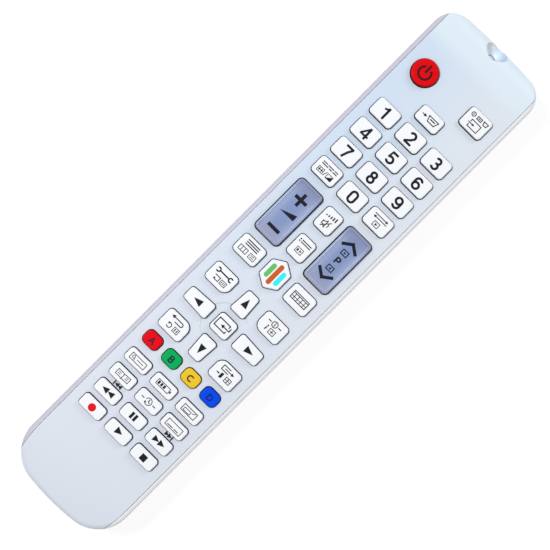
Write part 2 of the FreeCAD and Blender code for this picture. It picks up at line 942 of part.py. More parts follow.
def contact_plate(x, y, with_tab):
    half, high = contact_width / 2, contact_height / 2
    plate = box(x - half, x + half, y, y + contact_thickness, cell_z - high, cell_z + high)
    if not with_tab:
        return plate
    tab = contact_tab / 2
    return fused(plate, [box(x - tab, x + tab, y, y + contact_thickness, cell_z, board_bottom)])


def make_contacts():
    head = bay_head_y - contact_thickness
    nodes["contact_plus"] = contact_plate(-cell_x, head, True)
    minus = contact_plate(cell_x, head, True)
    nodes["contact_minus"] = fused(minus, [contact_spring(cell_x, head, head - spring_length)])
    tail = bay_tail_y + contact_thickness
    high = strip_height / 2
    strip = box(-cell_x, cell_x, bay_tail_y, tail, cell_z - high, cell_z + high)
    pieces = [contact_plate(cell_x, bay_tail_y, False), strip]
    pieces.append(contact_spring(-cell_x, tail, tail + spring_length))
    nodes["contact_bridge"] = fused(contact_plate(-cell_x, bay_tail_y, False), pieces)


keys = all_keys()
outer = make_outer()
walls = outer.copy().cut(make_cavity())
nodes["top_casing"] = make_top_casing(outer, walls, keys)
nodes["rear_casing"] = make_rear_casing(outer, walls)
nodes["battery_cover"] = make_battery_cover(walls)
nodes["keypad_mat"] = make_mat(keys)
nodes["circuit_board"] = make_board()
nodes["ir_emitter"] = make_emitter()
nodes["control_chip"] = make_chip()
nodes["board_parts"] = make_board_parts()
nodes["battery_left"] = make_cell(-cell_x, 1)
nodes["battery_right"] = make_cell(cell_x, -1)
make_contacts()
for key in keys:
    nodes[key.name] = key.solid()

os.makedirs("parts", exist_ok=True)
for name, shape in nodes.items():
    solids = shape.Solids
    kept = solids[0] if len(solids) == 1 else Part.makeCompound(solids)
    kept.exportStep(f"parts/{name}.step")
    bounds = kept.BoundBox
    print(
        f"{name}: {len(solids)} solid, valid {kept.isValid()}, {kept.Volume:.1f} mm3,"
        f" x {bounds.XMin:.2f} {bounds.XMax:.2f}, y {bounds.YMin:.2f} {bounds.YMax:.2f},"
        f" z {bounds.ZMin:.2f} {bounds.ZMax:.2f}"
    )
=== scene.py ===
import bmesh
import bpy
import json
import math
from mathutils import Matrix, Vector


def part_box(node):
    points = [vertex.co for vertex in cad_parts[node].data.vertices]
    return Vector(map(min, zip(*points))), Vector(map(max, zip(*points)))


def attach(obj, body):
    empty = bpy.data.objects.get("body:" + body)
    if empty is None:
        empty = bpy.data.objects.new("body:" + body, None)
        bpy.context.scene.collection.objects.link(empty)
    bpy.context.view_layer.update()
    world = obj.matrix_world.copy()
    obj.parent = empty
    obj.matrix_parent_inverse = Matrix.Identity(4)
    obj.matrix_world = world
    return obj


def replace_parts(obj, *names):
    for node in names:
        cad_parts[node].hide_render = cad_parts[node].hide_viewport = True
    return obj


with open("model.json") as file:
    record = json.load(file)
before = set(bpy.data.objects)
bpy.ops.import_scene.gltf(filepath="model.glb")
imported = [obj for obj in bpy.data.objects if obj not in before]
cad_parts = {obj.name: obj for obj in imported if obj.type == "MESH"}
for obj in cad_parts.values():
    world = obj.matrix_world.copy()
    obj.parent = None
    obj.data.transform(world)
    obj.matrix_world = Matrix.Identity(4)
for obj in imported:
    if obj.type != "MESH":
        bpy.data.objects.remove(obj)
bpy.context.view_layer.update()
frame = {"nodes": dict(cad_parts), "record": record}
nodes = frame["nodes"]
mm = 0.001  # lengths in the dictionaries are in mm, but for the studio's and the view's


def srgb(red, green, blue):  # a colour as it looks on screen, 0 to 255
    def linear(part):
        part /= 255
        return part / 12.92 if part <= 0.04045 else ((part + 0.055) / 1.055) ** 2.4
    return (linear(red), linear(green), linear(blue), 1.0)


# Shader maths on sockets
class Wire:
    def __init__(self, sheet, socket):
        self.sheet = sheet
        self.socket = socket

    def mathNode(self, kind, *values):
        return self.sheet.add("ShaderNodeMath", {"operation": kind}, list(values))

    def __add__(self, other):
        return self.mathNode("ADD", self, other)

    def __radd__(self, other):
        return self.mathNode("ADD", other, self)

    def __sub__(self, other):
        return self.mathNode("SUBTRACT", self, other)

    def __rsub__(self, other):
        return self.mathNode("SUBTRACT", other, self)

    def __mul__(self, other):
        return self.mathNode("MULTIPLY", self, other)

    def __rmul__(self, other):
        return self.mathNode("MULTIPLY", other, self)

    def __truediv__(self, other):
        return self.mathNode("DIVIDE", self, other)

    def __abs__(self):
        return self.mathNode("ABSOLUTE", self)

    def __gt__(self, other):
        return self.mathNode("GREATER_THAN", self, other)

    def __lt__(self, other):
        return self.mathNode("LESS_THAN", self, other)


class Sheet:  # one material and its nodes
    def __init__(self, name):
        self.material = bpy.data.materials.new(name)
        self.material.use_nodes = True
        self.tree = self.material.node_tree
        self.shader = self.tree.nodes["Principled BSDF"]
        self.out = self.tree.nodes["Material Output"]

    def feed(self, socket, value):
        if isinstance(value, Wire):
            self.tree.links.new(value.socket, socket)
        else:
            socket.default_value = value

    def add(self, kind, settings, values, output=0):
        node = self.tree.nodes.new(kind)
        for key, value in settings.items():
            setattr(node, key, value)
        pairs = values.items() if isinstance(values, dict) else enumerate(values)
        for key, value in pairs:
            self.feed(node.inputs[key], value)
        return Wire(self, node.outputs[output])

    def place(self):
        return self.add("ShaderNodeTexCoord", {}, {}, "Object")

    def axis(self, name):
        return self.add("ShaderNodeSeparateXYZ", {}, [self.place()], name)

    def noise(self, scale, detail=3.0):
        values = {"Vector": self.place(), "Scale": scale, "Detail": detail, "Roughness": 0.5}
        return self.add("ShaderNodeTexNoise", {}, values, "Fac")

    def mix(self, amount, first, second):
        values = {"Factor": amount, 6: first, 7: second}
        return self.add("ShaderNodeMix", {"data_type": "RGBA"}, values, 2)

    def smooth(self, value, low, high):
        values = {"Value": value, "From Min": low, "From Max": high}
        return self.add("ShaderNodeMapRange", {"interpolation_type": "SMOOTHSTEP"}, values)

    def fade(self, value, span):  # 0 to 1 along a span in mm
        return self.smooth(value, span[0] * mm, span[1] * mm)

    def distance(self, across, along):
        squares = across * across + along * along
        return self.add("ShaderNodeMath", {"operation": "SQRT"}, [squares])

    def bump(self, height, distance):
        values = {"Height": height, "Distance": distance, "Strength": 1.0}
        self.set("Normal", self.add("ShaderNodeBump", {}, values))

    def set(self, name, value):
        self.feed(self.shader.inputs[name], value)
        return self


# Finishes
plastics = {
    "key_white": {"colour": (248, 250, 253), "shade": (242, 245, 250), "rough": 0.38, "shine": 0.45},
    "key_power_red": {"colour": (232, 10, 20), "shade": (220, 4, 16), "rough": 0.35, "shine": 0.06},
    "key_red": {"colour": (236, 8, 26), "shade": (226, 2, 22), "rough": 0.35, "shine": 0.06},
    "key_green": {"colour": (4, 180, 96), "shade": (0, 168, 88), "rough": 0.35, "shine": 0.06},
    "key_yellow": {"colour": (245, 207, 50), "shade": (236, 194, 40), "rough": 0.35, "shine": 0.1},
    "key_blue": {"colour": (0, 80, 244), "shade": (0, 70, 228), "rough": 0.35, "shine": 0.06},
    "mat_rubber": {"colour": (176, 180, 188), "shade": (160, 164, 174), "rough": 0.7, "shine": 0.4},
    "chip_black": {"colour": (34, 34, 36), "shade": (26, 26, 28), "rough": 0.55, "shine": 0.5},
    "small_parts": {"colour": (70, 70, 76), "shade": (50, 50, 56), "rough": 0.4, "shine": 0.5},
}
skin = {"cloud": 90.0, "swing": 0.08, "grain": 9000.0, "depth": 0.000008}
faceZ = 20.0
# painted shade down the keys' sides, for the shadow in the gaps round them; heights in mm above the
# face
keySideShade = {
    "dark": (6, 8, 28), "wall": (70, 78, 116), "shares": (0.14, 0.5),
    "shadeFade": (0.55, 1.15), "powerRise": 0.35, "below": 0.4,
}


def satin(sheet, rough, cloud):  # the roughness and fine grain of moulded plastic
    sheet.set("Roughness", rough + skin["swing"] * (cloud - 0.5))
    sheet.bump(sheet.noise(skin["grain"], 2.0), skin["depth"])


def plastic(name, colour, shade, rough, shine):
    sheet = Sheet(name)
    cloud = sheet.noise(skin["cloud"])
    tint = sheet.mix(cloud, srgb(*shade), srgb(*colour))
    if name.startswith("key_"):  # painted shade: the cap's colour thins out down its side to a dark foot, for the shadow in the gap round the key
        z = sheet.axis("Z")
        face = faceZ + (keySideShade["powerRise"] if name == "key_power_red" else 0.0)
        shadeFade = sheet.fade(z, [face + height for height in keySideShade["shadeFade"]])
        foot = sheet.fade(z, (faceZ - keySideShade["below"], faceZ))
        dark, side = keySideShade["dark"], keySideShade["wall"]
        if name != "key_white":  # coloured keys keep their own hue, darkened, in the painted shade down the side
            dark, side = [[part * share for part in shade] for share in keySideShade["shares"]]
        tint = sheet.mix(shadeFade, sheet.mix(foot, srgb(*dark), srgb(*side)), tint)
    sheet.set("Base Color", tint).set("Specular IOR Level", shine)
    satin(sheet, rough, cloud)
    return sheet.material


# the face is painted lighter to the right, towards the tail, and in a highlight band where it bends
# down at the head
casing = {
    "face": (206, 222, 240), "faceRightLit": (222, 229, 238), "faceTailLit": (219, 225, 236),
    "faceHeadHighlight": (222, 236, 246), "left": (198, 196, 210), "right": (252, 252, 254),
    "acrossX": (-20.0, 20.0), "tailY": (70.0, -70.0), "headY": (90.0, 98.0),
    "cloud": (196, 206, 224), "cloudShare": 0.10, "clouds": (90.0, 14.0),
    # inside is painted shade for the gaps, below the face's top within the seams
    "inside": (40, 44, 64), "innerZ": (19.55, 19.7), "flatY": 88.0, "seamX": 20.8, "backZ": 10.0,
    "rough": 0.43, "swing": 0.10, "depth": 0.00002, "grains": (6000.0, 1500.0), "coarse": 0.6,
}
notch = {  # its painted light and shade from left to right, white at the left and darker blue at the right
    "left": (255, 255, 255), "middle": (230, 243, 252), "right": (192, 210, 231),
    "leftX": (-2.4, -0.6), "rightX": (0.8, 3.8),
}
scoop = {  # fills the notch up to the nose, and is dished round the emitter's tip
    "y": 106.5, "radius": 4.58, "foot": 4.1, "footZ": 12.36, "front": 107.42,
    "rings": 40, "around": 120, "steep": 0.35, "crown": 300.0, "profileX": 5.3,
    "dish": (4.45, 2.8, 6.5), "dishFront": 4.0, "dishY": 104.75, "dishZ": 18.9,
    "nose": ((98.0, 19.78), (101.8, 19.46), (102.8, 19.19), (103.8, 18.75), (104.66, 18.23),
             (105.4, 17.63), (106.17, 16.88), (106.74, 16.14), (107.05, 15.65), (107.35, 15.06),
             (107.5, 14.4)),
}


def dishMask(x, y, z):  # 1 inside the dish and the notch, 0 outside
    halfX, halfY = scoop["dish"][:2]
    ahead = y > scoop["dishY"] * mm
    across = x / (halfX * mm)
    along = (y - scoop["dishY"] * mm) / mm / (halfY + ahead * (scoop["dishFront"] - halfY))
    fromMiddle = y - scoop["y"] * mm
    inBowl = (across * across + along * along < 1.0) * (z > scoop["footZ"] * mm)
    return inBowl * (x * x + fromMiddle * fromMiddle < (scoop["radius"] * mm) ** 2)


def casingPlastic(name):
    sheet = Sheet(name)
    x, y, z = sheet.axis("X"), sheet.axis("Y"), sheet.axis("Z")
    fine, broad = sheet.noise(casing["clouds"][0]), sheet.noise(casing["clouds"][1], 2.0)
    side = sheet.fade(x, casing["acrossX"])
    if name == "face_plastic":
        # painted light on the face: lighter to the right, towards the tail and at the head
        tint = sheet.mix(side, srgb(*casing["face"]), srgb(*casing["faceRightLit"]))
        tint = sheet.mix(sheet.fade(y, casing["tailY"]), tint, srgb(*casing["faceTailLit"]))
        tint = sheet.mix(sheet.fade(y, casing["headY"]), tint, srgb(*casing["faceHeadHighlight"]))
    else:
        # painted light and shade: the rims darker at the left, lighter at the right
        tint = sheet.mix(side, srgb(*casing["left"]), srgb(*casing["right"]))
    tint = sheet.mix(casing["cloudShare"] * broad, tint, srgb(*casing["cloud"]))
    # painted light and shade in the notch: white at its left, darker blue at its right
    notchShading = sheet.mix(sheet.fade(x, notch["leftX"]), srgb(*notch["left"]), srgb(*notch["middle"]))
    notchShading = sheet.mix(sheet.fade(x, notch["rightX"]), notchShading, srgb(*notch["right"]))
    tint = sheet.mix(dishMask(x, y, z), tint, notchShading)
    # painted shade: below the face's top, within the seams, the hole walls and the inside go dark,
    # for the shade in the gaps
    shadeBelowTop = (1.0 - sheet.fade(z, casing["innerZ"]))
    shadeBelowTop = shadeBelowTop * (abs(y) < casing["flatY"] * mm) * (abs(x) < casing["seamX"] * mm)
    if name == "rear_plastic":  # the painted shade only on the wall beside the seam, not the back
        shadeBelowTop = shadeBelowTop * (z > casing["backZ"] * mm)
    sheet.set("Base Color", sheet.mix(shadeBelowTop, tint, srgb(*casing["inside"])))
    sheet.set("Roughness", casing["rough"] + casing["swing"] * (fine - 0.5))
    small, large = sheet.noise(casing["grains"][0]), sheet.noise(casing["grains"][1], 2.0)
    sheet.bump(small + casing["coarse"] * large, casing["depth"])
    return sheet.material


# painted light and shade: a lighter band along the dish's sides, a darker head end, a lighter tail
# end, and a dark foot
rocker = {
    "colour": (128, 150, 198), "sideHighlight": (164, 178, 211), "headEndShade": (132, 141, 176),
    "tailEndLight": (156, 162, 192), "foot": (8, 10, 30), "cloud": (90, 104, 150), "cloudShare": 0.10,
    "rough": 0.42, "rim": 4.4, "end": 6.5, "arms": 0.7, "shadeFade": (1.1, 1.65), "cloudScale": 120.0,
    "printDrop": 0.25,
}


def rockerGrey(name):
    sheet = Sheet(name)
    x, y = sheet.axis("X"), sheet.axis("Y")
    low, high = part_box(name)
    middle = [(a + b) / 2 for a, b in zip(low, high)]
    halfX, halfY = (high[0] - low[0]) / 2 - rocker["arms"] * mm, (high[1] - low[1]) / 2
    fromSide, fromEnd = halfX - abs(x - middle[0]), halfY - abs(y - middle[1])
    cloud = sheet.noise(rocker["cloudScale"])
    # painted light and shade on the dish: lighter along its sides, darker at the head end, lighter at
    # the tail end
    rim = sheet.fade(fromSide, (0.0, rocker["rim"]))
    tint = sheet.mix(rim, srgb(*rocker["sideHighlight"]), srgb(*rocker["colour"]))
    ends = sheet.mix(y > middle[1], srgb(*rocker["tailEndLight"]), srgb(*rocker["headEndShade"]))
    tint = sheet.mix(sheet.fade(fromEnd, (0.0, rocker["end"])), ends, tint)
    tint = sheet.mix(rocker["cloudShare"] * cloud, tint, srgb(*rocker["cloud"]))
    # painted shade: below the top the side goes dark, for the shadow in the gap round the rocker
    shadeFade = sheet.fade(sheet.axis("Z"), [faceZ + height for height in rocker["shadeFade"]])
    sheet.set("Base Color", sheet.mix(shadeFade, srgb(*rocker["foot"]), tint))
    satin(sheet, rocker["rough"], cloud)
    return sheet.material


board = {
    "mask": (22, 84, 46), "track": (60, 138, 84), "shade": (16, 60, 34), "shadeShare": 0.2,
    "rough": 0.28, "swing": 0.1, "pitch": 1.1, "line": 0.2, "depth": 0.00003,
    "areas": 130.0, "spread": 0.6, "cloud": 60.0,
}


def boardGreen(name):
    sheet = Sheet(name)
    values = {"Vector": sheet.place(), "Scale": board["areas"], "Randomness": board["spread"]}
    areas = sheet.add("ShaderNodeTexVoronoi", {"distance": "CHEBYCHEV"}, values, "Color")
    turned = sheet.add("ShaderNodeSeparateXYZ", {}, [areas], "X") > 0.5
    across = sheet.axis("X") * turned + sheet.axis("Y") * (1.0 - turned)
    wave = across.mathNode("PINGPONG", across, board["pitch"] * mm / 2)
    track = abs(wave) < board["line"] * mm
    cloud = sheet.noise(board["cloud"])
    tint = sheet.mix(track, srgb(*board["mask"]), srgb(*board["track"]))
    sheet.set("Base Color", sheet.mix(board["shadeShare"] * cloud, tint, srgb(*board["shade"])))
    sheet.set("Roughness", board["rough"] + board["swing"] * cloud).bump(track, board["depth"])
    return sheet.material


emitter = {
    "core": (232, 244, 255), "cloud": (212, 228, 252), "edge": (46, 54, 104),
    "radius": 2.5, "rim": (1.15, 0.3), "rough": 0.16, "swing": 0.05, "cloudScale": 300.0,
}


def emitterClear(name):
    sheet = Sheet(name)
    low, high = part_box("ir_emitter")
    across = sheet.axis("X") - (low[0] + high[0]) / 2
    ahead = sheet.axis("Y") - (high[1] - emitter["radius"] * mm)
    # painted shade: a dark ring round the dome's edge, for the dark rim a clear lens shows
    rim = [emitter["radius"] - inset for inset in emitter["rim"]]
    edge = sheet.fade(sheet.distance(across, ahead), rim)
    cloud = sheet.noise(emitter["cloudScale"])
    core = sheet.mix(cloud, srgb(*emitter["core"]), srgb(*emitter["cloud"]))
    sheet.set("Base Color", sheet.mix(edge, core, srgb(*emitter["edge"])))
    sheet.set("Roughness", emitter["rough"] + emitter["swing"] * cloud)
    return sheet.material


cell = {
    "jacket": (44, 48, 58), "band": (196, 200, 206), "steel": (190, 190, 188),
    "scuff": (120, 122, 128), "scuffShare": 0.25, "scuffScale": 2500.0, "scuffDepth": 0.00001,
    "capRadius": 4.95, "bandLength": 9.0, "sign": 1.5, "signLine": 0.32,
    "plusPlace": 12.5, "minusPlace": 40.0, "metallic": (1.0, 0.75), "rough": 0.26, "swing": 0.14,
    "cloud": 150.0,
}


def cellJacket(name):
    sheet = Sheet(name)
    low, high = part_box(name)
    across = sheet.axis("X") - (low[0] + high[0]) / 2
    upward = sheet.axis("Z") - (low[2] + high[2]) / 2
    jacket = sheet.distance(across, upward) > cell["capRadius"] * mm
    plusAtHead = name == "battery_left"
    along = sheet.axis("Y") if plusAtHead else 0.0 - sheet.axis("Y")
    end = high[1] if plusAtHead else -low[1]
    band = along > end - cell["bandLength"] * mm
    size, line = cell["sign"] * mm, cell["signLine"] * mm
    fromPlus = abs((end - cell["plusPlace"] * mm) - along)
    fromMinus = abs((end - cell["minusPlace"] * mm) - along)
    plus = (fromPlus < line) * (abs(across) < size) + (fromPlus < size) * (abs(across) < line)
    signs = plus + (fromMinus < line) * (abs(across) < size) > 0.5
    printed = sheet.mix(band + signs > 0.5, srgb(*cell["jacket"]), srgb(*cell["band"]))
    cloud = sheet.noise(cell["cloud"])
    scuff = sheet.noise(cell["scuffScale"], 4.0) * cell["scuffShare"]
    wrapped = sheet.mix(scuff, printed, srgb(*cell["scuff"]))
    bare, wrap = cell["metallic"]
    sheet.set("Base Color", sheet.mix(jacket, srgb(*cell["steel"]), wrapped))
    sheet.set("Metallic", bare - wrap * jacket)
    sheet.set("Roughness", cell["rough"] + cell["swing"] * cloud)
    sheet.bump(scuff, cell["scuffDepth"])
    return sheet.material


steel = {
    "dark": (196, 194, 188), "light": (214, 212, 208), "cloud": 400.0,
    "rough": 0.24, "swing": 0.16, "grain": 5000.0, "depth": 0.000006,
}


def contactMetal(name):
    sheet = Sheet(name)
    cloud = sheet.noise(steel["cloud"])
    sheet.set("Base Color", sheet.mix(cloud, srgb(*steel["dark"]), srgb(*steel["light"])))
    sheet.set("Metallic", 1.0).set("Roughness", steel["rough"] + steel["swing"] * cloud)
    sheet.bump(sheet.noise(steel["grain"]), steel["depth"])
    return sheet.material


special = {
    "face_plastic": casingPlastic, "rear_plastic": casingPlastic, "rocker_grey": rockerGrey,
    "board": boardGreen, "emitter_clear": emitterClear, "cell_jacket": cellJacket,
    "contact_metal": contactMetal,
}
perNode = ("rocker_grey", "cell_jacket")  # these finishes are placed on each piece by itself
finishes = {name: plastic(name, **values) for name, values in plastics.items()}
slots = {item["node"]: item["material_slot"] for item in frame["record"]["subparts"]}
for name, node in nodes.items():
    slot = slots[name]
    key = name if slot in perNode else slot
    if key not in finishes:
        finishes[key] = special[slot](key)
    node.data.materials.clear()
    node.data.materials.append(finishes[key])
print("finishes done")


def addThing(mesh, name, material, body):
    data = bpy.data.meshes.new(name)
    mesh.to_mesh(data)
    mesh.free()
    data.materials.append(material)
    thing = bpy.data.objects.new(name, data)
    bpy.context.scene.collection.objects.link(thing)
    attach(thing, body)
    return thing


def placePiece(mesh, name, finish):
    bmesh.ops.recalc_face_normals(mesh, faces=mesh.faces)
    bmesh.ops.scale(mesh, vec=(mm, mm, mm), verts=mesh.verts)
    thing = addThing(mesh, name, finishes[finish], "root")
    return thing


def noseHeight(x, y):  # the casing's own height there
    y -= (scoop["profileX"] ** 2 - x * x) / scoop["crown"]
    for (y0, z0), (y1, z1) in zip(scoop["nose"], scoop["nose"][1:]):
        if y <= y1:
            return z0 + (z1 - z0) * (y - y0) / (y1 - y0)
    return scoop["nose"][-1][1]


def dishHeight(x, y):  # the dish, or the nose where that is lower
    halfX, halfY, deep = scoop["dish"]
    if y > scoop["dishY"]:
        halfY = scoop["dishFront"]
    left = 1.0 - (x / halfX) ** 2 - ((y - scoop["dishY"]) / halfY) ** 2
    nose = noseHeight(x, y)
    return min(scoop["dishZ"] - deep * math.sqrt(left), nose) if left > 0 else nose


def makeScoop():
    mesh = bmesh.new()
    radius, rings, middleY = scoop["radius"], scoop["rings"], scoop["y"]
    line = [mesh.verts.new((radius * i / rings, 0, 0)) for i in range(rings + 1)]
    edges = [mesh.edges.new(pair) for pair in zip(line, line[1:])]
    bmesh.ops.spin(mesh, geom=line + edges, cent=(0, 0, 0), axis=(0, 0, 1),
                   angle=math.radians(360), steps=scoop["around"], use_merge=True)
    bmesh.ops.remove_doubles(mesh, verts=mesh.verts, dist=1e-4)
    bmesh.ops.translate(mesh, vec=(0, middleY, 0), verts=mesh.verts)
    whole = mesh.verts[:] + mesh.edges[:] + mesh.faces[:]
    bmesh.ops.bisect_plane(mesh, geom=whole, plane_co=(0, scoop["front"], 0),
                           plane_no=(0, 1, 0), clear_outer=True)
    for v in mesh.verts:
        v.co.z = dishHeight(v.co.x, v.co.y)
    for face in mesh.faces:
        heights = [v.co.z for v in face.verts]
        face.smooth = max(heights) - min(heights) < scoop["steep"]
    rim = [e for e in mesh.edges if e.is_boundary]
    skirt = bmesh.ops.extrude_edge_only(mesh, edges=rim)["geom"]
    shrink = scoop["foot"] / radius
    for v in skirt:
        if isinstance(v, bmesh.types.BMVert):
            v.co = (v.co.x * shrink, middleY + (v.co.y - middleY) * shrink, scoop["footZ"])
    bmesh.ops.holes_fill(mesh, edges=[e for e in mesh.edges if e.is_boundary])
    placePiece(mesh, "emitter_scoop", "face_plastic")


makeScoop()
print("scoop done")

# Contacts with real coils, in place of the tapers
contact = {
    "plate": 8.0, "thick": 0.4, "strip": 3.0, "tab": 2.4, "x": 5.6, "z": 6.85,
    "headY": -49.2, "tailY": -98.1, "boardZ": 13.4,
}
coil = {
    "foot": 3.1, "tip": 2.15, "wire": 0.28, "length": 3.95, "turns": 4.5, "perTurn": 28,
    "sides": 10,
}


def addBox(mesh, low, high):
    made = bmesh.ops.create_cube(mesh, size=1.0)["verts"]
    bmesh.ops.scale(mesh, vec=[b - a for a, b in zip(low, high)], verts=made)
    bmesh.ops.translate(mesh, vec=[(a + b) / 2 for a, b in zip(low, high)], verts=made)


def addPlate(mesh, x, y, halfX, halfZ, top=None):
    z = contact["z"]
    addBox(mesh, (x - halfX, y, z - halfZ), (x + halfX, y + contact["thick"], top or z + halfZ))


def addCoil(mesh, x, y, way):  # stands on the plate at y and points along way
    known = set(mesh.verts)
    foot, wire = coil["foot"], coil["wire"]
    ring = bmesh.ops.create_circle(mesh, segments=coil["sides"], radius=wire)["verts"]
    edges = [e for e in mesh.edges if e.verts[0] in ring and e.verts[1] in ring]
    upright = Matrix.Translation((foot, 0, 0)) @ Matrix.Rotation(math.radians(90), 4, "X")
    bmesh.ops.transform(mesh, matrix=upright, verts=ring)
    steps = int(coil["turns"] * coil["perTurn"])
    rise = coil["length"] - 2 * wire
    bmesh.ops.spin(mesh, geom=ring + edges, cent=(0, 0, 0), axis=(0, 0, 1),
                   dvec=(0, 0, rise / steps), angle=math.radians(360 * coil["turns"]), steps=steps)
    made = [v for v in mesh.verts if v not in known]
    for v in made:  # drawn in towards the tip
        shrink = (foot - coil["tip"]) * max(0.0, min(1.0, v.co.z / rise))
        v.co -= Vector((v.co.x, v.co.y, 0)).normalized() * shrink
    bmesh.ops.holes_fill(mesh, edges=[e for e in mesh.edges if e.is_boundary])
    stand = Matrix.Rotation(math.radians(-90 * way), 4, "X")
    base = Matrix.Translation((x, y + way * wire, contact["z"]))
    bmesh.ops.transform(mesh, matrix=base @ stand, verts=made)


def makeContacts():
    half, x = contact["plate"] / 2, contact["x"]
    headY, tailY = contact["headY"], contact["tailY"]
    minus = bmesh.new()
    addPlate(minus, x, headY, half, half)
    addPlate(minus, x, headY, contact["tab"] / 2, half / 2, contact["boardZ"])
    addCoil(minus, x, headY, -1)
    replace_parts(placePiece(minus, "contact_minus_coil", "contact_metal"), "contact_minus")
    bridge = bmesh.new()
    for side in (-1, 1):
        addPlate(bridge, side * x, tailY, half, half)
    addPlate(bridge, 0, tailY, x - half, contact["strip"] / 2)
    addCoil(bridge, -x, tailY + contact["thick"], 1)
    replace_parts(placePiece(bridge, "contact_bridge_coil", "contact_metal"), "contact_bridge")


makeContacts()
print("contacts done")

# Printed marks
ink = {
    "depth": 0.03, "sink": 0.01, "line": 0.32, "layer": 0.0005, "wide": 1.05,
    "digit": 4.6, "letter": 2.35, "shine": 0.12, "rough": 0.42, "swing": 0.12,
    "wear": 1800.0, "lighter": 14,
}
inks = {
    "inkDark": (10, 10, 24), "inkMaroon": (60, 0, 8), "inkRed": (220, 0, 18),
    "inkOnRed": (88, 0, 24), "inkOnGreen": (0, 42, 38), "inkOnYellow": (76, 40, 24),
    "inkOnBlue": (6, 20, 104), "inkOrange": (205, 84, 30), "inkGreen": (92, 190, 100),
    "inkCyan": (50, 232, 244),
}


def inkFinish(name, colour):
    sheet = Sheet(name)
    wear = sheet.noise(ink["wear"], 4.0)
    lighter = srgb(*[min(255, part + ink["lighter"]) for part in colour])
    sheet.set("Base Color", sheet.mix(wear, srgb(*colour), lighter))
    sheet.set("Roughness", ink["rough"] + ink["swing"] * wear)
    sheet.set("Specular IOR Level", ink["shine"])
    return sheet.material


inkFinishes = {name: inkFinish(name, colour) for name, colour in inks.items()}
figureTall = 4.15  # the height that the figures are drawn at


class Marks:  # flat marks in one ink, in mm about the middle of their key
    def __init__(self):
        self.mesh = bmesh.new()
        self.layer = 0.0  # each mark lies a hair above the last, so that no two share a plane

    def stamp(self, verts, x, y, turn=0.0):
        self.layer += ink["layer"]
        move = Matrix.Translation((x, y, self.layer)) @ Matrix.Rotation(math.radians(turn), 4, "Z")
        bmesh.ops.transform(self.mesh, matrix=move, verts=verts)

    def bar(self, x, y, width, height, turn=0.0):
        made = bmesh.ops.create_grid(self.mesh, x_segments=1, y_segments=1, size=0.5)["verts"]
        bmesh.ops.scale(self.mesh, vec=(width, height, 1), verts=made)
        self.stamp(made, x, y, turn)

    def disc(self, x, y, radius):
        made = bmesh.ops.create_circle(self.mesh, cap_ends=True, segments=32, radius=radius)["verts"]
        self.stamp(made, x, y)

    def arc(self, x, y, radius, start=0.0, sweep=360.0, width=None):
        half = (width or ink["line"]) / 2
        ends = [self.mesh.verts.new((radius + side * half, 0, 0)) for side in (-1, 1)]
        edge = self.mesh.edges.new(ends)
        known = set(self.mesh.verts)
        whole = abs(sweep) >= 360.0
        bmesh.ops.spin(self.mesh, geom=ends + [edge], cent=(0, 0, 0), axis=(0, 0, 1), use_merge=whole,
                       angle=math.radians(sweep), steps=max(6, int(abs(sweep) / 10)))
        made = ends + [v for v in self.mesh.verts if v not in known]
        self.stamp(made, x, y, start)

    def path(self, points, width=None):
        width = width or ink["line"]
        for (ax, ay), (bx, by) in zip(points, points[1:]):
            length = math.hypot(bx - ax, by - ay)
            turn = math.degrees(math.atan2(by - ay, bx - ax))
            self.bar((ax + bx) / 2, (ay + by) / 2, length + width, width, turn)

    def patch(self, points, x=0.0, y=0.0, turn=0.0):
        made = [self.mesh.verts.new((px, py, 0)) for px, py in points]
        self.mesh.faces.new(made)
        self.stamp(made, x, y, turn)

    def frame(self, x, y, width, height, line=None):
        line = line or ink["line"]
        for side in (-1, 1):
            self.bar(x + side * (width - line) / 2, y, line, height)
            self.bar(x, y + side * (height - line) / 2, width, line)

    def head(self, x, y, size, turn=0.0):  # a triangle that points along the turn
        self.patch([(-size / 2, -size * 0.55), (size / 2, 0), (-size / 2, size * 0.55)], x, y, turn)

    def arrow(self, x0, x1, y, size=0.9):
        side = 1 if x1 > x0 else -1
        self.bar((x0 + x1 - side * size) / 2, y, abs(x1 - x0) - size, ink["line"])
        self.head(x1 - side * size / 2, y, size, 0 if side > 0 else 180)

    def figure(self, character, height, x=0.0, y=0.0, stroke=0.82):
        known = set(self.mesh.verts)
        scale = height / figureTall
        figures[character](self, stroke / scale)
        made = [v for v in self.mesh.verts if v not in known]
        bmesh.ops.scale(self.mesh, vec=(scale * ink["wide"], scale, 1), verts=made)
        bmesh.ops.translate(self.mesh, vec=(x, y, 0), verts=made)

    def print(self, name, inkName, place, body):
        bmesh.ops.remove_doubles(self.mesh, verts=self.mesh.verts, dist=1e-5)
        self.mesh.normal_update()
        for face in self.mesh.faces:
            if face.normal.z < 0:
                face.normal_flip()
        raised = bmesh.ops.extrude_face_region(self.mesh, geom=self.mesh.faces[:])["geom"]
        lifted = [item for item in raised if isinstance(item, bmesh.types.BMVert)]
        bmesh.ops.translate(self.mesh, vec=(0, 0, ink["depth"]), verts=lifted)
        bmesh.ops.recalc_face_normals(self.mesh, faces=self.mesh.faces)
        bmesh.ops.scale(self.mesh, vec=(mm, mm, mm), verts=self.mesh.verts)
        bmesh.ops.translate(self.mesh, vec=place, verts=self.mesh.verts)
        addThing(self.mesh, name, inkFinishes[inkName], body)


# Plain bold figures about their middle, with strokes of width w
def drawZero(m, w):
    for side in (-1, 1):
        m.arc(0, side * 0.78, 1.0, 0 if side > 0 else 180, 180, w)
        m.bar(side * 1.0, 0, w, 1.6)


def drawOne(m, w):
    m.bar(0.3, 0, w, figureTall)
    m.path([(-0.75, 1.05), (-0.1, 1.3), (0.25, 1.75)], w * 0.85)


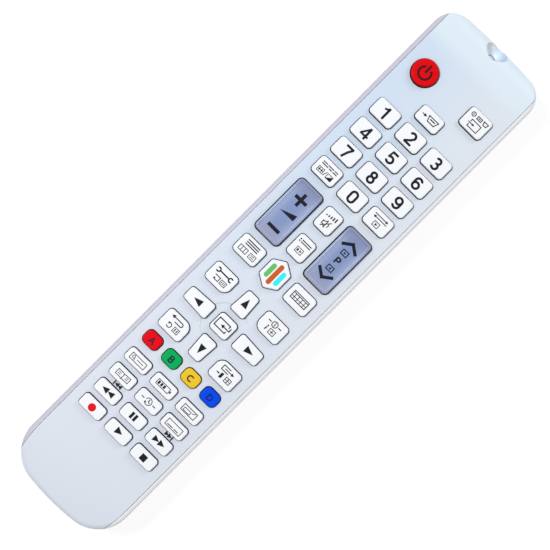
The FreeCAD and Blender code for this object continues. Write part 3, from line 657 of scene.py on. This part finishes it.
def drawTwo(m, w):
    m.arc(0, 0.85, 0.95, 165, -200, w)
    m.path([(0.85, 0.42), (0.3, -0.4), (-1.0, -1.6)], w * 0.95)
    m.bar(0.02, -1.74, 2.62, w)


def drawThree(m, w):
    m.arc(-0.05, 0.9, 0.84, 155, -245, w)
    m.arc(-0.05, -0.82, 0.93, 90, -245, w)
    m.bar(-0.2, 0.08, 0.55, w * 0.85)


def drawFour(m, w):
    m.bar(0.62, 0, w, figureTall)
    m.path([(0.45, 1.65), (-1.1, -0.8)], w * 0.8)
    m.bar(0.05, -0.95, 2.9, w * 0.9)


def drawFive(m, w):
    m.bar(0.2, 1.74, 2.05, w)
    m.path([(-0.7, 1.7), (-0.95, -0.05)], w * 0.8)
    m.arc(-0.05, -0.72, 1.02, 140, -295, w)


def drawSix(m, w):
    m.arc(0.02, -0.72, 1.0, 0, 360, w)
    m.bar(-0.98, 0.1, w, 1.5)
    m.arc(0.02, 0.72, 1.0, 20, 160, w)


def drawSeven(m, w):
    m.bar(0, 1.74, 2.7, w)
    m.path([(1.05, 1.55), (0.25, 0.1), (-0.35, -1.75)], w * 0.95)


def drawEight(m, w):
    m.arc(0, 0.93, 0.8, 0, 360, w)
    m.arc(0, -0.8, 0.95, 0, 360, w)


def drawNine(m, w):
    m.arc(-0.02, 0.72, 1.0, 0, 360, w)
    m.bar(0.98, -0.1, w, 1.5)
    m.arc(-0.02, -0.72, 1.0, 200, 160, w)


def drawA(m, w):
    for side in (-1, 1):
        m.path([(side * 1.5, -1.85), (0, 1.8)], w)
    m.bar(0, -0.65, 1.9, w)


def drawB(m, w):
    m.bar(-1.15, 0, w, figureTall)
    for y, radius in ((0.98, 0.82), (-0.87, 0.93)):
        m.arc(0.2, y, radius, -90, 180, w)
        for side in (-1, 1):
            m.bar(-0.4, y + side * radius, 1.3, w)


def drawC(m, w):
    m.arc(0.1, 0, 1.72, 50, 260, w)


def drawD(m, w):
    m.bar(-1.2, 0, w, figureTall)
    m.arc(-0.25, 0, 1.72, -90, 180, w)
    for side in (-1, 1):
        m.bar(-0.6, side * 1.72, 1.0, w)


def drawP(m, w):
    m.bar(-1.1, 0, w, figureTall)
    m.arc(0.25, 0.72, 0.98, -90, 180, w)
    for side in (-1, 1):
        m.bar(-0.3, 0.72 + side * 0.98, 1.3, w)


figures = {
    "0": drawZero, "1": drawOne, "2": drawTwo, "3": drawThree, "4": drawFour, "5": drawFive,
    "6": drawSix, "7": drawSeven, "8": drawEight, "9": drawNine,
    "A": drawA, "B": drawB, "C": drawC, "D": drawD, "P": drawP,
}


def keyTop(node, drop=0.0):
    low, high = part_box(node)
    top = high[2] - (ink["sink"] + drop) * mm
    return Vector(((low[0] + high[0]) / 2, (low[1] + high[1]) / 2, top))


def markPower(marks):
    marks.arc(0.05, -0.25, 2.2, 122, 296, width=0.85)
    marks.bar(0.05, 1.45, 0.85, 3.2)


def markSource(marks):
    marks.arc(-2.6, 1.7, 0.72)
    marks.disc(-2.6, 1.7, 0.25)
    marks.frame(0.0, 1.7, 2.1, 1.4)
    marks.bar(0.0, 1.7, 1.0, 0.3)
    marks.path([(1.7, 2.3), (3.6, 2.3), (3.25, 1.1), (2.05, 1.1), (1.7, 2.3)])
    boxRight(marks, 0.25, -1.25, 4.0, 2.7)
    marks.arrow(-2.4, 0.3, -1.25)


def boxRight(marks, x, y, width, height):  # a frame with a gap for an arrow at its left
    left, right, low, high = x - width / 2, x + width / 2, y - height / 2, y + height / 2
    marks.path([(left, y + 0.6), (left, high), (right, high), (right, low), (left, low),
                (left, y - 0.6)])


def markInput(marks):
    marks.path([(-0.9, 0.95), (3.2, 0.95), (2.5, -0.95), (-0.2, -0.95), (-0.9, 0.95)], 0.34)
    marks.bar(1.15, 0.15, 2.2, 0.4)
    marks.arrow(-3.3, -1.3, 0.0, 1.1)


def smallBox(marks, x, y, width=2.5, height=1.9, marksInside=3):
    marks.frame(x, y, width, height, 0.24)
    step = (width - 0.7) / max(1, marksInside)
    for i in range(marksInside):
        marks.bar(x + (i - (marksInside - 1) / 2) * step, y, step * 0.45, height - 0.9)


def markText(marks):
    for y, widths in ((1.75, (1.9, 2.6, 1.5)), (1.0, (2.8, 1.3, 1.9))):
        x = -3.3
        for width in widths:
            marks.bar(x + width / 2, y, width, 0.36)
            x += width + 0.35
    smallBox(marks, -2.0, -1.15, 2.6, 1.9, 2)
    marks.bar(-2.0, -1.15, 2.2, 0.2)
    marks.bar(0.0, -1.15, 0.26, 2.0, -20)
    marks.frame(1.95, -1.15, 2.5, 1.9, 0.24)
    marks.patch([(-1.1, -0.8), (1.1, -0.8), (1.1, 0.8)], 1.95, -1.15)


def markPrevious(marks):
    marks.arrow(-2.9, 2.9, 1.75, 1.0)
    marks.arrow(2.9, -2.9, 0.8, 1.0)
    marks.frame(0.0, -1.2, 2.5, 2.0, 0.26)
    marks.head(0.1, -1.2, 1.0)


def markMute(marks):
    for i in range(5):
        height = 0.45 + 0.28 * i
        marks.bar((i - 2) * 0.95, 1.0 + height / 2, 0.5, height)
    marks.path([(-1.4, -0.8), (-0.75, -0.8), (0.1, -0.05), (0.1, -2.65), (-0.75, -1.95),
                (-1.4, -1.95), (-1.4, -0.8)])
    marks.path([(-1.2, -2.75), (1.4, 0.1)])
    marks.arc(0.25, -1.35, 0.9, -45, 90)


def markList(marks):
    for y in (2.35, 1.55):
        marks.disc(-2.3, y, 0.28)
        marks.bar(0.4, y, 4.2, 0.36)
    smallBox(marks, 0.0, -1.1, 2.9, 2.1, 0)
    marks.bar(-0.6, -1.1, 0.7, 0.9)
    marks.head(0.65, -1.1, 0.85)


def markMenu(marks):
    for y in (2.4, 1.6, 0.8):
        marks.bar(0.0, y, 5.4, 0.4)
    marks.frame(-1.75, -1.3, 3.6, 2.0, 0.26)
    for x in (-2.35, -1.15):
        marks.bar(x, -1.3, 0.26, 2.0)
    smallBox(marks, 2.3, -1.3, 2.7, 2.0, 0)
    for y in (-0.95, -1.6):
        marks.bar(2.3, y, 1.5, 0.24)


def markGuide(marks):
    marks.frame(0.0, 0.0, 6.8, 3.0, 0.32)
    marks.bar(0.0, 0.75, 6.8, 0.3)
    for x in (-2.1, -0.7, 0.7, 2.1):
        marks.bar(x, -0.35, 0.26, 2.1)
    marks.bar(0.0, -0.45, 6.6, 0.26)


def markTools(marks):
    marks.bar(0.0, 1.45, 4.2, 0.5)
    marks.arc(-2.75, 1.45, 0.72, 225, 270, width=0.5)
    marks.arc(2.75, 1.45, 0.72, 45, 270, width=0.5)
    marks.path([(-2.3, -0.35), (-0.2, -0.35), (-0.2, -1.9), (-1.5, -1.9)])
    marks.head(-2.0, -1.75, 0.9, 215)
    smallBox(marks, 1.65, -1.15)


def markInfo(marks):
    marks.arc(0.0, 1.45, 1.05)
    marks.bar(0.0, 1.2, 0.36, 0.9)
    marks.disc(0.0, 1.95, 0.22)
    for x in (-2.2, 2.2):
        marks.bar(x, 1.45, 1.3, 0.36)
    marks.bar(-1.6, -1.35, 0.42, 1.3, -12)
    marks.disc(-1.45, -0.25, 0.3)
    marks.frame(0.95, -1.15, 2.5, 2.0, 0.26)
    marks.bar(0.95, -1.15, 1.3, 0.28)
    marks.bar(0.95, -1.15, 0.28, 1.1)


def markReturn(marks):
    marks.path([(-1.9, 2.1), (1.6, 2.1)], 0.36)
    marks.arc(1.6, 1.45, 0.65, -90, 180, width=0.36)
    marks.path([(1.6, 0.8), (-0.6, 0.8)], 0.36)
    marks.head(-2.4, 2.1, 1.3, 180)
    marks.arc(-1.4, -1.2, 0.85, -150, 280)
    marks.head(-2.0, -0.5, 0.9, 150)
    smallBox(marks, 1.6, -1.15, 2.4, 2.0, 2)


def markExit(marks):
    marks.path([(0.4, 2.5), (-2.4, 2.5), (-2.4, 0.8), (0.4, 0.8)], 0.34)
    marks.arrow(-1.4, 2.6, 1.65, 1.1)
    marks.arrow(-3.0, -1.6, -0.85, 0.7)
    marks.patch([(-0.5, -1.1), (0.5, -0.8), (0.5, 1.1), (-0.5, 0.9)], -0.85, -0.9)
    marks.frame(2.0, -0.85, 2.5, 2.0, 0.26)
    marks.bar(2.0, -0.85, 0.3, 1.9)
    marks.bar(2.0, -0.85, 2.4, 0.24)


def markEnter(marks):
    marks.path([(1.8, 0.85), (1.8, 1.55), (-2.9, 1.55), (-2.9, -1.55), (1.8, -1.55),
                (1.8, -0.95)], 0.4)
    marks.path([(2.6, 1.0), (2.6, -0.1), (0.2, -0.1)], 0.4)
    marks.head(-0.4, -0.1, 1.3, 180)


def markSearch(marks):
    marks.frame(0.0, 0.0, 6.6, 2.4, 0.26)
    marks.arc(-2.0, 0.15, 0.5, width=0.24)
    marks.path([(-1.6, -0.25), (-1.25, -0.6)])
    marks.bar(0.9, 0.0, 2.9, 0.24)


def markStatus(marks):
    marks.frame(-0.2, 0.0, 5.6, 2.1, 0.26)
    marks.bar(2.95, 0.0, 0.5, 0.9)
    for x in (-2.05, -0.85, 0.35):
        marks.bar(x, 0.0, 0.8, 1.2)


def markScreenSize(marks):
    marks.frame(0.0, 0.0, 6.0, 2.6, 0.28)
    marks.frame(-0.7, -0.25, 3.0, 1.3, 0.24)
    marks.path([(1.2, 0.2), (2.2, 0.8)], 0.24)


def markManual(marks):
    for side in (-1, 1):
        marks.path([(0, -1.05), (side * 0.6, -0.85), (side * 2.7, -0.85), (side * 2.7, 1.05),
                    (side * 0.6, 1.05), (0, 0.85)], 0.26)
        for y in (0.45, -0.15):
            marks.bar(side * 1.6, y, 1.2, 0.22)
    marks.bar(0, -0.1, 0.26, 1.9)


def markHistory(marks):
    marks.arc(0.0, 0.0, 1.25, -140, 310, width=0.28)
    marks.head(-0.95, -0.8, 0.8, 230)
    marks.path([(0.0, 0.75), (0.0, 0.0), (0.6, -0.3)])
    for x in (-2.5, 2.5):
        marks.bar(x, 0.0, 1.2, 0.34)


def markSubtitle(marks):
    marks.frame(0.0, 0.0, 6.6, 2.6, 0.26)
    marks.bar(-1.3, -0.55, 2.4, 0.32)
    marks.bar(1.35, -0.55, 1.9, 0.32)


def markRewind(marks, side=-1):
    for x in (-1.2, 1.2):
        marks.patch([(-1.25, -1.15), (1.25, 0), (-1.25, 1.15)], x, 0.1, 180 if side < 0 else 0)


def markForward(marks):
    markRewind(marks, 1)


def markPause(marks):
    for x in (-0.75, 0.75):
        marks.bar(x, 0.15, 1.0, 2.45)


def markPlay(marks):
    marks.patch([(-1.35, -1.35), (1.35, 0), (-1.35, 1.35)], 0.2, 0.3)


def markStop(marks):
    marks.bar(0.0, -0.1, 2.3, 2.3)


def markRecord(marks):
    marks.disc(0.0, -0.25, 1.4)


def markVolume(marks):
    marks.bar(0.1, 5.5, 5.1, 1.2)
    marks.bar(0.1, 5.5, 1.2, 5.1)
    marks.patch([(-2.95, -1.4), (3.1, -1.4), (3.1, 0.85)])
    marks.bar(0.1, -7.4, 5.1, 1.25)


def markChannel(marks):
    for side, apex, ends in ((1, 7.35, 5.35), (-1, -7.65, -5.65)):
        marks.path([(-2.75, ends), (0, apex), (2.75, ends)], 1.1)
    marks.figure("P", 2.45, 0.05, -0.15, 0.56)
    for y in (3.3, -3.7):
        marks.frame(0, y, 2.7, 2.1, 0.36)
        marks.head(0.1 if y > 0 else -0.1, y, 0.9, 0 if y > 0 else 180)


def markArrow(marks, turn):
    x, y = 0.6 * math.cos(math.radians(turn)), 0.6 * math.sin(math.radians(turn))
    marks.patch([(-1.7, -1.28), (1.7, 0), (-1.7, 1.28)], x, y, turn)


def printKey(node, draw, inkName="inkDark", drop=0.0):
    marks = Marks()
    draw(marks)
    marks.print(node + "_print", inkName, keyTop(node, drop), node)


keyMarks = {
    "source": markSource, "input": markInput, "text": markText, "previous": markPrevious,
    "mute": markMute, "list": markList, "menu": markMenu, "guide": markGuide, "tools": markTools,
    "info": markInfo, "return": markReturn, "exit": markExit, "enter": markEnter,
    "search": markSearch, "status": markStatus, "screen_size": markScreenSize,
    "manual": markManual, "history": markHistory, "subtitle": markSubtitle,
    "rewind": markRewind, "pause": markPause, "forward": markForward, "play": markPlay,
    "stop": markStop,
}
for key, draw in keyMarks.items():
    printKey("key_" + key, draw)
for digit in "0123456789":
    printKey("key_" + digit, lambda marks: marks.figure(digit, ink["digit"], 0.08, -0.12))
for key, turn in (("right", 0), ("up", 90), ("left", 180), ("down", 270)):
    printKey("key_" + key, lambda marks: markArrow(marks, turn))
for key, letter in (("red", "A"), ("green", "B"), ("yellow", "C"), ("blue", "D")):
    printKey("key_" + key, lambda marks: marks.figure(letter, ink["letter"], 0, -0.15, 0.5),
             "inkOn" + key.capitalize())
printKey("key_power", markPower, "inkMaroon")
printKey("key_record", markRecord, "inkRed")
printKey("rocker_volume", markVolume, drop=rocker["printDrop"])
printKey("rocker_channel", markChannel, drop=rocker["printDrop"])

home = {
    "bars": (("inkGreen", -2.2, 5.6), ("inkOrange", 0.0, 8.2), ("inkCyan", 2.2, 5.6)),
    "width": 1.7,
}
for inkName, x, height in home["bars"]:
    marks = Marks()
    straight = height - home["width"]
    marks.bar(x, 0.0, home["width"], straight)
    for side in (-1, 1):
        marks.disc(x, side * straight / 2, home["width"] / 2)
    marks.print("key_home_" + inkName, inkName, keyTop("key_home"), "key_home")

skip = {"y": -63.7, "left": -11.1, "right": 12.75}  # on the face, beside their keys
for side, x in ((-1, skip["left"]), (1, skip["right"])):
    marks = Marks()
    for step in (-0.75, 0.55):
        marks.patch([(-0.8, -0.85), (0.8, 0), (-0.8, 0.85)], side * step, 0, 0 if side > 0 else 180)
    marks.bar(side * 1.55, 0, 0.5, 1.7)
    place = Vector((x * mm, skip["y"] * mm, (faceZ - ink["sink"]) * mm))
    marks.print("face_skip_" + ("back" if side < 0 else "on"), "inkDark", place, "root")
print("marks done")

# Floor, lamps and camera
studio = {
    "floorSize": 3.0, "floorDrop": 0.02, "floorColour": (244, 245, 247), "floorRough": 0.9,
    "floorGlow": 0.86, "floorFaint": (0.20, 0.20, 0.21, 1.0), "worldLight": 0.355,
    "keyLamp": {"place": (-0.41, -0.08, 0.87), "size": 0.16, "power": 5.4},
    "headLamp": {"place": (0.20, 0.80, 0.45), "size": 0.35, "power": 1.9},
}


whiteRays = ("Is Camera Ray", "Is Glossy Ray", "Is Transmission Ray")


def makeFloor():  # lit as a pale floor, but seen as white with the object's shadow on it
    bpy.ops.mesh.primitive_plane_add(size=studio["floorSize"])
    floor = bpy.context.object
    floor.name = "floor"
    floor.location.z = -studio["floorDrop"] * mm
    sheet = Sheet("floor")
    sheet.set("Base Color", srgb(*studio["floorColour"])).set("Roughness", studio["floorRough"])
    camera, gloss, glass = [sheet.add("ShaderNodeLightPath", {}, {}, ray) for ray in whiteRays]
    seen = camera + gloss + glass
    faint = sheet.add("ShaderNodeBsdfDiffuse", {}, {"Color": studio["floorFaint"]})
    glow = sheet.add("ShaderNodeEmission", {}, {"Strength": studio["floorGlow"]})
    white = sheet.add("ShaderNodeAddShader", {}, [faint, glow])
    mixed = sheet.add("ShaderNodeMixShader", {}, {0: seen})
    sheet.tree.links.new(sheet.shader.outputs[0], mixed.socket.node.inputs[1])
    sheet.tree.links.new(white.socket, mixed.socket.node.inputs[2])
    sheet.tree.links.new(mixed.socket, sheet.out.inputs["Surface"])
    floor.data.materials.append(sheet.material)


def makeLamp(name, place, size, power):
    lamp = bpy.data.objects.new(name, bpy.data.lights.new(name, "AREA"))
    lamp.data.size = size
    lamp.data.energy = power
    lamp.location = place
    lamp.rotation_euler = Vector(place).to_track_quat("Z", "Y").to_euler()
    bpy.context.scene.collection.objects.link(lamp)


def makeWorld():
    world = bpy.data.worlds.new("studio")
    world.use_nodes = True
    add, link = world.node_tree.nodes.new, world.node_tree.links.new
    soft, white = world.node_tree.nodes["Background"], add("ShaderNodeBackground")
    for background in (soft, white):
        background.inputs["Color"].default_value = (1.0, 1.0, 1.0, 1.0)
    soft.inputs["Strength"].default_value = studio["worldLight"]
    path, mixed = add("ShaderNodeLightPath"), add("ShaderNodeMixShader")
    share = path.outputs[whiteRays[0]]
    for ray in whiteRays[1:]:  # so that gloss and glass show the white too
        either = add("ShaderNodeMath")
        either.operation = "MAXIMUM"
        link(share, either.inputs[0])
        link(path.outputs[ray], either.inputs[1])
        share = either.outputs[0]
    for source, socket in zip((share, soft.outputs[0], white.outputs[0]), mixed.inputs):
        link(source, socket)
    link(mixed.outputs[0], world.node_tree.nodes["World Output"].inputs["Surface"])
    bpy.context.scene.world = world


view = {  # focal and middle are in pixels of the picture, height and aimHeight in metres
    "height": 0.400, "turn": 44.9, "picture": 550, "focal": 1137.0,
    "middle": (276.05, 273.65), "aimHeight": 0.016, "near": 0.01,
}


def makeCamera():
    camera = bpy.data.objects.new("camera", bpy.data.cameras.new("camera"))
    bpy.context.scene.collection.objects.link(camera)
    half = view["picture"] / 2
    camera.data.angle = 2 * math.atan(half / view["focal"])
    turn = math.radians(view["turn"])
    perPixel = (view["height"] - view["aimHeight"]) / view["focal"]
    right = (half - view["middle"][0]) * perPixel
    up = (view["middle"][1] - half) * perPixel
    x = right * math.cos(turn) - up * math.sin(turn)
    y = right * math.sin(turn) + up * math.cos(turn)
    camera.location = (x, y, view["height"])
    camera.rotation_euler = (0.0, 0.0, turn)
    camera.data.clip_start = view["near"]
    bpy.context.scene.camera = camera


makeFloor()
for lampName in ("keyLamp", "headLamp"):
    makeLamp(lampName, **studio[lampName])
makeWorld()
makeCamera()
bpy.context.scene.view_settings.view_transform = "Standard"
print("studio done")
